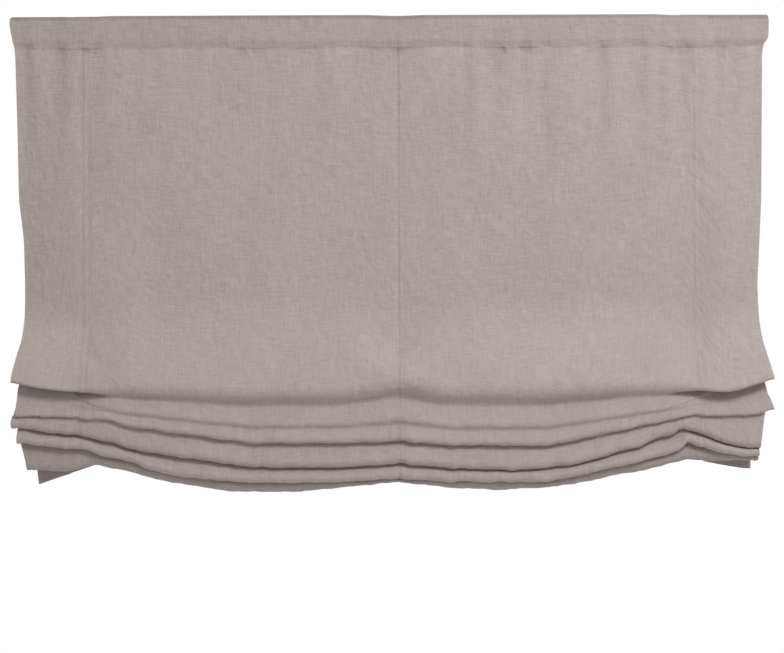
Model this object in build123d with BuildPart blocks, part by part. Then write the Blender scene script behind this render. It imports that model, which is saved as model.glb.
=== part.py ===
"""Relaxed roman blind in washed linen, drawn up about half way on its headrail.

X runs along the rail, Y towards the wall, Z up. The origin is the middle wall screw, on the wall.
All sizes are in millimetres.
"""
from build123d import *
from math import asin, atan2, cos, hypot, pi, sin
import os

os.makedirs("parts", exist_ok=True)

# Clearances
seat_gap = 0.3       # between a soft or loose piece and what it lies against
running_gap = 0.05   # round a turning journal, on the radius
socket_gap = 0.1     # round the square shaft, on each side

# Wall brackets
bracket_spacing = 600
bracket_width = 30
bracket_plate = 2.0
plate_top = 20
plate_bottom = -38
plate_corner = 3
screw_hole_radius = 2.5
jaw_width = 24
jaw_wall = 1.6
jaw_shelf_height = 5.6      # underside of the jaw, above the screw
jaw_gap = 0.6               # from the back of the rail
rivet_radius = 1.9
rivet_height = -29.5        # pivot of the locking lever
rivet_head_radius = 3.5
rivet_head_thickness = 0.9
rivet_play = 0.1            # under its head
lever_thickness = 4.0
lever_reach = 6.5           # half the lever's width at its pivot
lever_nose_width = 5
lever_grip_width = 8
lever_grip_length = 24
lever_grip_thickness = 2.4
lever_overlap = 1           # of the grip's root and the lever's body
lever_gap = 0.4             # from the bracket plate

# Headrail
rail_left = -709
rail_right = 697
rail_back = -8
rail_depth = 30
rail_height = 45
rail_wall = 1.5
rail_corner = 1.2
lip_width = 4               # inward lips that carry the cradles
hook_rib_top = 14
hook_rib_reach = 4.4
hook_rib_drop = 6
rib_wall = 1.6
lock_rib_height = -20       # underside of the lower rib
lock_rib_reach = 4
cap_thickness = 3
cap_plug = 9

# Heading
tape_thickness = 1.2        # hook tape, and loop tape too
touch_tape_height = 22
touch_tape_length = 1396
touch_tape_drop = 2         # from the rail's top edge

# Lifting gear
shaft_side = 5
shaft_height = 2            # its axis above the screws
shaft_left = -615
drum_length = 30
drum_core_radius = 7.3
drum_flange_radius = 10.5
drum_flange = 1.5
journal_radius = 6
journal_length = 4
cord_radius = 0.7
winding_length = 21
winding_sides = 18
cradle_wall = 2
cradle_base = 2
cradle_top = 11
cradle_slot = 9
cradle_side_gap = 0.3
cheek_gap = 0.5             # from the drum's ends

# Chain drive
drive_length = 16           # housing, past the end of the rail
drive_wall = 1.6
cover_thickness = 2.4
wheel_radius = 10.6
wheel_width = 6.4
wheel_gap = 1.2             # from the housing's inner wall
pocket_count = 12
pocket_depth = 2
pocket_share = 0.6          # of the rim, the rest is teeth
hub_radius = 6.4
hub_length = 13
post_radius = 4.4
post_reach = 3              # into the wheel's end
spring_wall = 0.9
spring_length = 9
spring_inset = 0.8          # from the collar's end

# Cloth: its wall, then the places where it is held and how each fold hangs there
cloth_wall = 1.2
heading_drop = 46           # from the top edge to where the cloth steps back off the rail
fold_radius = 4.0
tuck_radius = 1.0
fold_depth_pitch = 10       # each fold hangs this far behind the one in front of it
last_fold_y = -58
left_tape_x = -575
middle_tape_x = 20
right_tape_x = 579
ring_tape_width = 15
ring_tape_wall = 0.5
ring_outer_radius = 6
ring_inner_radius = 4
ring_thickness = 2
ring_sides = 10
cord_sides = 8
ring_spacing = 200
lowest_flat_ring_z = -541
flat_rings = 3
adjuster_width = 10
adjuster_depth = 7
adjuster_height = 13
adjuster_chamfer = 1.2

# Places worked out from the sizes above
rail_front = rail_back - rail_depth
rail_middle = rail_back - rail_depth / 2
rail_top = rail_height / 2
rail_bottom = -rail_height / 2
shaft_y = rail_middle
cord_y = shaft_y - drum_core_radius - cord_radius
ring_seat_y = cord_y - ring_outer_radius - seat_gap
cloth_back_y = ring_seat_y - ring_tape_wall - seat_gap
panel_y = cloth_back_y - cloth_wall / 2
loop_tape_y = rail_front - tape_thickness - seat_gap
heading_y = loop_tape_y - tape_thickness - seat_gap - cloth_wall / 2
cloth_top_z = rail_top + seat_gap + cloth_wall / 2
tuck_y = cloth_back_y - cloth_wall / 2 - tuck_radius
bracket_places = (-bracket_spacing, 0, bracket_spacing)
tape_places = (left_tape_x, middle_tape_x, right_tape_x)


# The cloth's right edge from the front, as x and z: wide at the heading, in at the waist, out at
# the corners of its folds. The left edge mirrors it.
heading_half_width = 719
side_edge = [
    (heading_half_width, cloth_top_z + cloth_wall),
    (heading_half_width, -20),
    (706, -45),
    (692, -480),
    (713, -664),
    (698, -735),
    (696, -800),
    (655, -880),
]

# How the cloth hangs at a place across the blind: the bottoms of its five folds, front one first,
# its hem, the tops of its five tucks, and how slack the second fold is (0 is taut, 1 a full wave)
left_end = ((-668, -731, -753, -781, -825), -860, (-624, -648, -672, -696, -718), 0)
left_tape = ((-688, -737, -769, -795, -823), -828, (-640, -660, -680, -700, -728), 0)
left_swag = ((-707, -784, -827, -856, -872), -867, (-662, -691, -720, -746, -770), 1)
middle_tape = ((-690, -778, -820, -849, -854), -850, (-645, -673, -701, -726, -758), 0.7)
right_swag = ((-705, -785, -829, -855, -871), -867, (-660, -690, -720, -746, -770), 1)
right_tape = ((-686, -729, -754, -782, -810), -811, (-640, -660, -680, -700, -728), 0)
right_end = ((-662, -720, -790, -804, -812), -828, (-618, -644, -670, -695, -718), 0)

tape_hold = ring_tape_width / 2 + 1.5    # a tape keeps the cloth straight this far to each side
places = (
    (-heading_half_width - 1, left_end),
    (left_tape_x - tape_hold, left_tape),
    (left_tape_x + tape_hold, left_tape),
    (-261, left_swag),
    (-93, left_swag),
    (middle_tape_x - tape_hold, middle_tape),
    (middle_tape_x + tape_hold, middle_tape),
    (112, right_swag),
    (299, right_swag),
    (right_tape_x - tape_hold, right_tape),
    (right_tape_x + tape_hold, right_tape),
    (heading_half_width + 1, right_end),
)
swag_stations = (-480, -380, 400, 490)    # sections between a tape and the middle of its swag
stations = sorted([place[0] for place in places] + list(swag_stations))


def mix(one, other, share):
    """Values part of the way from one list to another."""
    return tuple(a + (b - a) * share for a, b in zip(one, other))


def hang_at(x):
    """Fold bottoms, hem, tuck tops and slack at x: a cosine ease between the nearest two places."""
    for (left, here), (right, there) in zip(places, places[1:]):
        if left <= x <= right:
            share = 0.5 - 0.5 * cos(pi * (x - left) / (right - left))
            bottoms = mix(here[0], there[0], share)
            tucks = mix(here[2], there[2], share)
            hem, slack = mix((here[1], here[3]), (there[1], there[3]), share)
            return bottoms, hem, tucks, slack


def slack_wave(start, end, slack, front_fold_z):
    """The soft wave in the second fold: two rollers, almost in line where the cloth is taut."""
    swell, dip = 9, 6
    swell_share, dip_share, least_bend = 0.5, 0.75, 1.2
    run = (end[0] - start[0], end[1] - start[1])
    length = hypot(*run)
    along = (run[0] / length, run[1] / length)
    across = (-along[1], along[0])
    in_line = []
    for share, radius, hand in ((swell_share, swell, 1), (dip_share, dip, -1)):
        shift = hand * (radius - least_bend)
        in_line.append(tuple(start[i] + run[i] * share + across[i] * shift for i in (0, 1)))
    loose = ((-84, front_fold_z - 26), (-94, front_fold_z - 45))
    centres = [mix(tight, free, slack) for tight, free in zip(in_line, loose)]
    return [(*centres[0], swell, 1, 2, 2), (*centres[1], dip, -1, 1, 1)]


def rollers_at(x):
    """The cloth's path at x as rollers that it runs round.

    A roller is y, z, radius, hand, and the chords that draw the bend outside and inside. Hand 1 is
    a fold that closes at the bottom, with its centre behind the path, and hand -1 is a tuck.
    """
    bottoms, hem, tucks, slack = hang_at(x)
    corner, step_bend, step_drop, sweep = 4, 8, 11, 120
    folds = [last_fold_y - fold_depth_pitch * (4 - i) for i in range(5)]
    path = [
        (rail_middle + 1, cloth_top_z, 0, 1, 1, 1),
        (heading_y + corner, cloth_top_z - corner, corner, 1, 3, 3),
        (heading_y + step_bend, cloth_top_z - heading_drop, step_bend, 1, 1, 1),
        (panel_y - step_bend, cloth_top_z - heading_drop - step_drop, step_bend, -1, 1, 1),
        (panel_y - sweep, lowest_flat_ring_z, sweep, -1, 2, 2),
    ]
    for i in range(5):
        path.append((folds[i], bottoms[i] + fold_radius, fold_radius, 1, 4, 2))
        path.append((tuck_y, tucks[i] - tuck_radius, tuck_radius, -1, 2, 1))
        if i == 0:
            start = (tuck_y + tuck_radius, tucks[0] - tuck_radius)
            end = (folds[1] - fold_radius, bottoms[1] + fold_radius)
            path += slack_wave(start, end, slack, bottoms[0])
    path.append((panel_y, hem, 0, 1, 1, 1))
    return path


def side_points(path, shift, first=0, last=None):
    """Points along one face of the cloth, shift mm towards the wall from the middle of its wall.

    The cloth runs straight from roller to roller along their common tangents, and each bend is
    drawn in its short chords. first and last pick the rollers between which it is drawn.
    """
    runs = []
    for (y1, z1, r1, h1, *_), (y2, z2, r2, h2, *_) in zip(path, path[1:]):
        distance = hypot(y2 - y1, z2 - z1)
        angle = atan2(z2 - z1, y2 - y1) - asin((h2 * r2 - h1 * r1) / distance)
        runs.append(angle)

    def on_roller(roller, angle):
        y, z, radius, hand, _, _ = roller
        reach = hand * radius - shift
        return (y + reach * sin(angle), z - reach * cos(angle))

    last = len(path) - 1 if last is None else last
    points = [on_roller(path[first], runs[first])]
    for i in range(first + 1, last + 1):
        points.append(on_roller(path[i], runs[i - 1]))
        if i == last:
            break
        hand, outside, inside = path[i][3:]
        turn = ((runs[i] - runs[i - 1]) * hand) % (2 * pi)
        chords = outside if hand * shift < 0 else inside
        for k in range(1, chords + 1):
            points.append(on_roller(path[i], runs[i - 1] + hand * turn * k / chords))
    return points


# Headrail: one aluminium extrusion, open below, with a hook rib and a locking rib at its back
with BuildPart() as headrail:
    with BuildSketch(Plane.YZ.offset(rail_left)):
        with Locations((rail_middle, 0)):
            outer = Rectangle(rail_depth, rail_height)
        fillet(outer.vertices(), rail_corner)
        with Locations((rail_middle, 0)):
            Rectangle(rail_depth - 2 * rail_wall, rail_height - 2 * rail_wall, mode=Mode.SUBTRACT)
        with Locations((rail_middle, rail_bottom)):
            Rectangle(rail_depth - 2 * rail_wall - 2 * lip_width, 4 * rail_wall, mode=Mode.SUBTRACT)
        with Locations((rail_back - rail_wall / 2, hook_rib_top)):
            Rectangle(hook_rib_reach + rail_wall / 2, rib_wall, align=(Align.MIN, Align.MAX))
        with Locations((rail_back + hook_rib_reach, hook_rib_top)):
            Rectangle(rib_wall, hook_rib_drop, align=(Align.MAX, Align.MAX))
        with Locations((rail_back - rail_wall / 2, lock_rib_height)):
            Rectangle(lock_rib_reach + rail_wall / 2, rib_wall, align=(Align.MIN, Align.MIN))
    extrude(amount=rail_right - rail_left)
headrail.part.label = "headrail"
export_step(headrail.part, "parts/headrail.step")

# End cap: a plate over the left end, with a plug that fits inside the rail
with BuildPart() as end_cap:
    with BuildSketch(Plane.YZ.offset(rail_left)):
        with Locations((rail_middle, 0)):
            plate = Rectangle(rail_depth, rail_height)
        chamfer(plate.vertices(), 2 * rail_corner)
    extrude(amount=-cap_thickness)
    with BuildSketch(Plane.YZ.offset(rail_left)):
        with Locations((rail_middle, seat_gap)):
            Rectangle(rail_depth - 2 * rail_wall - 2 * seat_gap, rail_height - 2 * rail_wall - 4 * seat_gap)
        with Locations((rail_middle, seat_gap)):
            Rectangle(
                rail_depth - 4 * rail_wall - 2 * seat_gap,
                rail_height - 4 * rail_wall - 4 * seat_gap,
                mode=Mode.SUBTRACT,
            )
    extrude(amount=cap_plug)
end_cap.part.label = "end_cap"
export_step(end_cap.part, "parts/end_cap.step")

# Hook tape glued along the rail's front, and the loop tape sewn inside the heading
for name, back_y in (("hook_tape", rail_front), ("loop_tape", loop_tape_y)):
    with BuildPart() as touch_tape:
        with BuildSketch(Plane.XY.offset(rail_top - touch_tape_drop)):
            with Locations((0, back_y)):
                Rectangle(touch_tape_length, tape_thickness, align=(Align.CENTER, Align.MAX))
        extrude(amount=-touch_tape_height)
    touch_tape.part.label = name
    export_step(touch_tape.part, f"parts/{name}.step")

# Brackets: a steel plate on the wall, whose jaw the rail's hook rib hangs over
jaw_front = rail_back + jaw_gap
jaw_top = hook_rib_top - rib_wall - seat_gap
lever_back = -bracket_plate - lever_gap
for name, x in zip(("left", "middle", "right"), bracket_places):
    with BuildPart() as plate:
        with BuildSketch(Plane.XZ):
            with Locations((x, (plate_top + plate_bottom) / 2)):
                sheet = Rectangle(bracket_width, plate_top - plate_bottom)
            chamfer(sheet.vertices(), plate_corner)
            with Locations((x, 0)):
                Circle(screw_hole_radius, mode=Mode.SUBTRACT)
            with Locations((x, rivet_height)):
                Circle(rivet_radius + running_gap, mode=Mode.SUBTRACT)
        extrude(amount=bracket_plate)
        with BuildSketch(Plane.YZ.offset(x)):
            with Locations((-bracket_plate, jaw_shelf_height)):
                Rectangle(-bracket_plate - jaw_front, jaw_wall, align=(Align.MAX, Align.MIN))
            with Locations((jaw_front, jaw_shelf_height)):
                Rectangle(jaw_wall, jaw_top - jaw_shelf_height, align=(Align.MIN, Align.MIN))
        extrude(amount=jaw_width / 2, both=True)
    plate.part.label = f"bracket_plate_{name}"
    export_step(plate.part, f"parts/bracket_plate_{name}.step")

    # The locking lever: its nose presses up under the rail's lower rib, and its grip hangs down
    nose_height = lock_rib_height - seat_gap - rivet_height
    with BuildPart() as lever:
        with BuildSketch(Plane.XZ.offset(-lever_back)):
            with Locations((x, rivet_height)):
                half = [
                    (lever_nose_width / 2, nose_height),
                    (lever_reach, lever_reach / 2),
                    (lever_reach, -lever_reach / 2),
                    (lever_grip_width / 2, -lever_reach),
                ]
                Polygon(*half, *((-a, b) for a, b in reversed(half)), align=None)
                Circle(rivet_radius + running_gap, mode=Mode.SUBTRACT)
        extrude(amount=lever_thickness)
        with BuildSketch(Plane.XZ.offset(-lever_back)):
            with Locations((x, rivet_height - lever_reach + lever_overlap)):
                grip = Rectangle(lever_grip_width, lever_grip_length, align=(Align.CENTER, Align.MAX))
            chamfer(grip.vertices().group_by(Axis.Z)[0], lever_grip_width / 4)
        extrude(amount=lever_grip_thickness)
    lever.part.label = f"bracket_lever_{name}"
    export_step(lever.part, f"parts/bracket_lever_{name}.step")

# Rivets on which the levers turn
with BuildPart() as rivets:
    head_back = lever_back - lever_thickness - rivet_play
    with BuildSketch(Plane.XZ):
        with Locations(*((x, rivet_height) for x in bracket_places)):
            Circle(rivet_radius)
    extrude(amount=-head_back)
    with BuildSketch(Plane.XZ.offset(-head_back)):
        with Locations(*((x, rivet_height) for x in bracket_places)):
            Circle(rivet_head_radius)
    extrude(amount=rivet_head_thickness)
rivets.part.label = "bracket_rivets"
export_step(rivets.part, "parts/bracket_rivets.step")

# Square drive shaft, from the left drum into the chain wheel
wheel_left = rail_right + drive_wall + wheel_gap
wheel_right = wheel_left + wheel_width
socket_end = wheel_right - post_reach - seat_gap
with BuildPart() as drive_shaft:
    with BuildSketch(Plane.YZ.offset(shaft_left)):
        with Locations((shaft_y, shaft_height)):
            Rectangle(shaft_side, shaft_side)
    extrude(amount=socket_end - shaft_left)
drive_shaft.part.label = "drive_shaft"
export_step(drive_shaft.part, "parts/drive_shaft.step")

# Cord drums, one over each ring tape, with a square socket for the shaft
with BuildPart() as cord_drums:
    for x in tape_places:
        for radius, length in (
            (drum_core_radius, drum_length),
            (journal_radius, drum_length + 2 * journal_length),
        ):
            with BuildSketch(Plane.YZ.offset(x)):
                with Locations((shaft_y, shaft_height)):
                    Circle(radius)
            extrude(amount=length / 2, both=True)
        for end in (-drum_length / 2, drum_length / 2 - drum_flange):
            with BuildSketch(Plane.YZ.offset(x + end)):
                with Locations((shaft_y, shaft_height)):
                    Circle(drum_flange_radius)
            extrude(amount=drum_flange)
        with BuildSketch(Plane.YZ.offset(x)):
            with Locations((shaft_y, shaft_height)):
                Rectangle(shaft_side + 2 * socket_gap, shaft_side + 2 * socket_gap)
        extrude(amount=drum_length, both=True, mode=Mode.SUBTRACT)
cord_drums.part.label = "cord_drums"
export_step(cord_drums.part, "parts/cord_drums.step")

# The turns of cord wound on each drum, as one close sleeve
winding_radius = drum_core_radius + running_gap
with BuildPart() as cord_windings:
    for x in tape_places:
        with BuildSketch(Plane.YZ.offset(x)):
            with Locations((shaft_y, shaft_height)):
                RegularPolygon(winding_radius + 2 * cord_radius, winding_sides)
                RegularPolygon(winding_radius, winding_sides, major_radius=False, mode=Mode.SUBTRACT)
        extrude(amount=winding_length / 2, both=True)
cord_windings.part.label = "cord_windings"
export_step(cord_windings.part, "parts/cord_windings.step")

# Cradles: a base on the rail's lips, and two cheeks with open bearings for the drum's journals
cradle_width = rail_depth - 2 * rail_wall - 2 * cradle_side_gap
cradle_bottom = rail_bottom + rail_wall + seat_gap
cheek = drum_length / 2 + cheek_gap
with BuildPart() as drum_cradles:
    for x in tape_places:
        with BuildSketch(Plane.XY.offset(cradle_bottom)):
            with Locations((x, rail_middle)):
                Rectangle(2 * (cheek + cradle_wall), cradle_width)
            with Locations((x, cord_y)):
                Rectangle(drum_length, cradle_slot, mode=Mode.SUBTRACT)
        extrude(amount=cradle_base)
        for left in (x - cheek - cradle_wall, x + cheek):
            with BuildSketch(Plane.YZ.offset(left)):
                with BuildLine():
                    CenterArc((shaft_y, shaft_height), journal_radius + running_gap, 180, 180)
                    half = [
                        (journal_radius + running_gap, shaft_height),
                        (journal_radius + running_gap, cradle_top),
                        (cradle_width / 2, shaft_height),
                        (cradle_width / 2, cradle_bottom),
                    ]
                    mirrored = [(-a, b) for a, b in reversed(half)]
                    Polyline(*((rail_middle + a, b) for a, b in half + mirrored))
                make_face()
            extrude(amount=cradle_wall)
drum_cradles.part.label = "drum_cradles"
export_step(drum_cradles.part, "parts/drum_cradles.step")

# Drive housing: a cup on the right end of the rail, open below where the chain leaves
spring_radius = hub_radius + seat_gap / 2 + spring_wall
with BuildPart() as drive_housing:
    with BuildSketch(Plane.YZ.offset(rail_right)):
        with Locations((rail_middle, 0)):
            case = Rectangle(rail_depth, rail_height)
        chamfer(case.vertices(), 2 * rail_corner)
    extrude(amount=drive_length)
    with BuildSketch(Plane.YZ.offset(rail_right + drive_wall)):
        with Locations((rail_middle, rail_top - drive_wall)):
            Rectangle(rail_depth - 2 * drive_wall, rail_height, align=(Align.CENTER, Align.MAX))
    extrude(amount=drive_length, mode=Mode.SUBTRACT)
    with BuildSketch(Plane.YZ.offset(rail_right)):
        with Locations((rail_middle, 0)):
            Rectangle(rail_depth - 2 * rail_wall - 2 * seat_gap, rail_height - 2 * rail_wall - 4 * seat_gap)
    extrude(amount=-cap_plug)
    with BuildSketch(Plane.YZ.offset(rail_right - cap_plug)):
        with Locations((shaft_y, shaft_height)):
            Circle(spring_radius + running_gap)
    extrude(amount=cap_plug + drive_wall, mode=Mode.SUBTRACT)
drive_housing.part.label = "drive_housing"
export_step(drive_housing.part, "parts/drive_housing.step")

# Cover over the end of the drive, with the post on which the wheel runs
cover_left = rail_right + drive_length + seat_gap
with BuildPart() as drive_cover:
    with BuildSketch(Plane.YZ.offset(cover_left)):
        with Locations((rail_middle, 0)):
            lid = Rectangle(rail_depth, rail_height)
        chamfer(lid.vertices(), 2 * rail_corner)
    extrude(amount=cover_thickness)
    chamfer(drive_cover.faces().sort_by(Axis.X)[-1].edges(), cover_thickness / 3)
    with BuildSketch(Plane.YZ.offset(cover_left)):
        with Locations((shaft_y, shaft_height)):
            Circle(post_radius)
    extrude(amount=wheel_right - post_reach - cover_left)
drive_cover.part.label = "drive_cover"
export_step(drive_cover.part, "parts/drive_cover.step")

# Chain wheel: a ring of pockets for the chain's balls, moulded with the hub that turns the shaft
pocket_half = pocket_share * pi * wheel_radius / pocket_count
with BuildPart() as chain_wheel:
    with BuildSketch(Plane.YZ.offset(wheel_right)):
        with Locations((shaft_y, shaft_height)):
            Circle(wheel_radius)
            with PolarLocations(wheel_radius, pocket_count):
                pocket = [(1, pocket_half), (-pocket_depth, 0), (1, -pocket_half)]
                Polygon(*pocket, align=None, mode=Mode.SUBTRACT)
    extrude(amount=-wheel_width)
    with BuildSketch(Plane.YZ.offset(wheel_left)):
        with Locations((shaft_y, shaft_height)):
            Circle(hub_radius)
    extrude(amount=-hub_length)
    with BuildSketch(Plane.YZ.offset(wheel_right)):
        with Locations((shaft_y, shaft_height)):
            Rectangle(shaft_side + 2 * socket_gap, shaft_side + 2 * socket_gap)
    extrude(amount=-hub_length - wheel_width, mode=Mode.SUBTRACT)
    with BuildSketch(Plane.YZ.offset(wheel_right)):
        with Locations((shaft_y, shaft_height)):
            Circle(post_radius + running_gap)
    extrude(amount=-post_reach - seat_gap, mode=Mode.SUBTRACT)
chain_wheel.part.label = "chain_wheel"
export_step(chain_wheel.part, "parts/chain_wheel.step")

# Brake spring: wound close round the hub, inside the housing's collar
with BuildPart() as brake_spring:
    with BuildSketch(Plane.YZ.offset(rail_right + drive_wall - spring_inset)):
        with Locations((shaft_y, shaft_height)):
            Circle(spring_radius)
            Circle(spring_radius - spring_wall, mode=Mode.SUBTRACT)
    extrude(amount=-spring_length)
brake_spring.part.label = "brake_spring"
export_step(brake_spring.part, "parts/brake_spring.step")

# Cloth: sections of the folded linen across the blind, lofted straight from one to the next
with BuildPart() as blind_cloth:
    for x in stations:
        path = rollers_at(x)
        front = side_points(path, -cloth_wall / 2)
        back = side_points(path, cloth_wall / 2)
        with BuildSketch(Plane.YZ.offset(x)):
            with BuildLine():
                Polyline(*front, *reversed(back), close=True)
            make_face()
    loft(ruled=True)
    with BuildSketch(Plane.XZ):
        Polygon(*side_edge, *((-x, z) for x, z in reversed(side_edge)), align=None)
    extrude(amount=2 * rail_depth - last_fold_y, mode=Mode.INTERSECT)
blind_cloth.part.label = "blind_cloth"
export_step(blind_cloth.part, "parts/blind_cloth.step")

# Ring tapes sewn down the back of the cloth, into every fold and tuck
for name, x in zip(("left", "middle", "right"), tape_places):
    path = rollers_at(x)
    near = cloth_wall / 2 + seat_gap
    with BuildPart() as ring_tape:
        with BuildSketch(Plane.YZ.offset(x)):
            with BuildLine():
                inner = side_points(path, near, first=3)
                outer = side_points(path, near + ring_tape_wall, first=3)
                Polyline(*inner, *reversed(outer), close=True)
            make_face()
        extrude(amount=ring_tape_width / 2, both=True)
    ring_tape.part.label = f"ring_tape_{name}"
    export_step(ring_tape.part, f"parts/ring_tape_{name}.step")

    # Rings: three down the flat panel, and one at each tuck
    ring_heights = [lowest_flat_ring_z + ring_spacing * i for i in range(flat_rings)]
    ring_heights += [tuck - tuck_radius for tuck in hang_at(x)[2]]
    with BuildPart() as rings:
        for z in ring_heights:
            with BuildSketch(Plane.XY.offset(z - ring_thickness / 2)):
                with Locations((x, cord_y)):
                    RegularPolygon(ring_outer_radius, ring_sides, rotation=90)
                    RegularPolygon(ring_inner_radius, ring_sides, rotation=90, mode=Mode.SUBTRACT)
            extrude(amount=ring_thickness)
    rings.part.label = f"rings_{name}"
    export_step(rings.part, f"parts/rings_{name}.step")

    # Adjuster: a small cleat under the lowest ring, where the cord is tied off
    adjuster_top = ring_heights[-1] - ring_thickness / 2 - seat_gap
    with BuildPart() as adjuster:
        with BuildSketch(Plane.XY.offset(adjuster_top)):
            with Locations((x, cord_y)):
                block = Rectangle(adjuster_width, adjuster_depth)
            chamfer(block.vertices(), adjuster_chamfer)
        extrude(amount=-adjuster_height)
        chamfer(adjuster.faces().sort_by(Axis.Z)[0].edges(), adjuster_chamfer)
    adjuster.part.label = f"cord_adjuster_{name}"
    export_step(adjuster.part, f"parts/cord_adjuster_{name}.step")

    # Lift cord: straight down from the winding through every ring to the adjuster
    cord_top = shaft_height - drum_core_radius + cord_radius
    with BuildPart() as lift_cord:
        with BuildSketch(Plane.XY.offset(adjuster_top)):
            with Locations((x, cord_y)):
                RegularPolygon(cord_radius, cord_sides)
        extrude(amount=cord_top - adjuster_top)
    lift_cord.part.label = f"lift_cord_{name}"
    export_step(lift_cord.part, f"parts/lift_cord_{name}.step")
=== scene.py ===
# %% [markdown]
# # A relaxed roman blind, dressed round its CAD frame
# The frame holds the rigid gear and a plain solid for every soft part, all in one place in metres.
# This script keeps the gear, gives it its finishes, and makes the cloth, tapes, cords and stitches
# anew. The frame comes first, because every piece has to ride on one of its bodies.

# %% Load the frame
import math

import bpy
import numpy as np
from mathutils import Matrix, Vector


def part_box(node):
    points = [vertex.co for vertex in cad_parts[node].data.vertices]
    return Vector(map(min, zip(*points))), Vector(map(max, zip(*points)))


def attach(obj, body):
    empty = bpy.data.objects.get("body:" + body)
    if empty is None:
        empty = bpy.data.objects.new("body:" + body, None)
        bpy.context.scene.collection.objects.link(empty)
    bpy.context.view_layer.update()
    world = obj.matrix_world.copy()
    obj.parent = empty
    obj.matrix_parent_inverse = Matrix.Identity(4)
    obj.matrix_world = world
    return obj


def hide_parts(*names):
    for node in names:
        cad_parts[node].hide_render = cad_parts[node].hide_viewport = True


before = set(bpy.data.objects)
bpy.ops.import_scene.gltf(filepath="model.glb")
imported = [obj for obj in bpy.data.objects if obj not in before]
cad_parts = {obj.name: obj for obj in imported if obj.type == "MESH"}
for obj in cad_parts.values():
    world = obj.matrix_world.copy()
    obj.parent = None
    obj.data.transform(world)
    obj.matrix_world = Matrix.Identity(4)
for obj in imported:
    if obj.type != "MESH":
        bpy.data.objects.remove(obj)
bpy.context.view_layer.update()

scene = bpy.context.scene
scene.view_settings.view_transform = "Standard"
MM = 0.001
FULL_TURN = 2 * math.pi

# %% [markdown]
# ## Camera and light
# The photograph looks straight at the blind from the middle, a little below its heading, through a
# long lens. The picture was turned by a fifth of a degree, so the camera is too. A soft lamp stands
# high in front on the right, another lights the back, and a white sky fills in. Only the camera and
# mirrors see that sky at full strength: on the cloth it is weaker, so that the lamps can shape the
# folds.

# %% Camera
PHOTO_TURN = 0.0035
camera = bpy.data.objects.new("camera", bpy.data.cameras.new("camera"))
scene.collection.objects.link(camera)
camera.location = (0.0038, -3.642, -0.5629)
camera.rotation_euler = (math.pi / 2, PHOTO_TURN, 0)
camera.data.lens = 87.6
camera.data.sensor_width = 36
camera.data.clip_start, camera.data.clip_end = 0.1, 50
scene.camera = camera
print("camera looks from", tuple(round(c, 3) for c in camera.location))

# %% Lamps
def soft_lamp(name, place, aim, size, power):
    """A square lamp at place, in metres, that points at aim."""
    lamp = bpy.data.objects.new(name, bpy.data.lights.new(name, "AREA"))
    scene.collection.objects.link(lamp)
    lamp.data.size, lamp.data.energy = size, power
    way = np.array(place, float) - np.array(aim, float)
    flat_way = math.hypot(way[0], way[1])
    lamp.location = place
    lamp.rotation_euler = (math.atan2(flat_way, way[2]), 0, math.atan2(way[0], -way[1]))


blind_middle = (0, 0, -0.42)
soft_lamp("key_lamp", (1.9, -2.8, 2.1), blind_middle, size=1.2, power=110)
soft_lamp("back_lamp", (-1.5, 3.0, 1.2), blind_middle, size=2.0, power=40)

# %% [markdown]
# ## Shader sums as plain Python
# A shader's maths is a web of Math nodes. A small class that wraps one socket lets the same web be
# written as an expression: `1 - mask * 0.2` adds two nodes. Everything else is one method, `add`,
# which takes a node's type, its settings and what goes into its sockets.

# %% Sockets that can be added and multiplied
class Wire:
    """An output socket of a finish. Sums of wires and plain numbers add Math nodes."""

    def __init__(self, finish, socket):
        self.finish, self.socket = finish, socket

    def also(self, output):
        """Another output of the same node."""
        return Wire(self.finish, self.socket.node.outputs[output])

    def sum_node(self, operation, first, second=0.0):
        return self.finish.add("ShaderNodeMath", {"operation": operation}, {0: first, 1: second})

    def __add__(self, other):
        return self.sum_node("ADD", self, other)

    def __sub__(self, other):
        return self.sum_node("SUBTRACT", self, other)

    def __rsub__(self, other):
        return self.sum_node("SUBTRACT", other, self)

    def __mul__(self, other):
        return self.sum_node("MULTIPLY", self, other)

    def __abs__(self):
        return self.sum_node("ABSOLUTE", self)

    __radd__, __rmul__ = __add__, __mul__

    def sine(self):
        return self.sum_node("SINE", self)

    def within(self, low, high):
        """0 below low, 1 above high, and a straight ramp between."""
        return self.finish.add(
            "ShaderNodeMapRange", {"clamp": True}, {0: self, 1: low, 2: high, 3: 0.0, 4: 1.0}
        )


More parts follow.
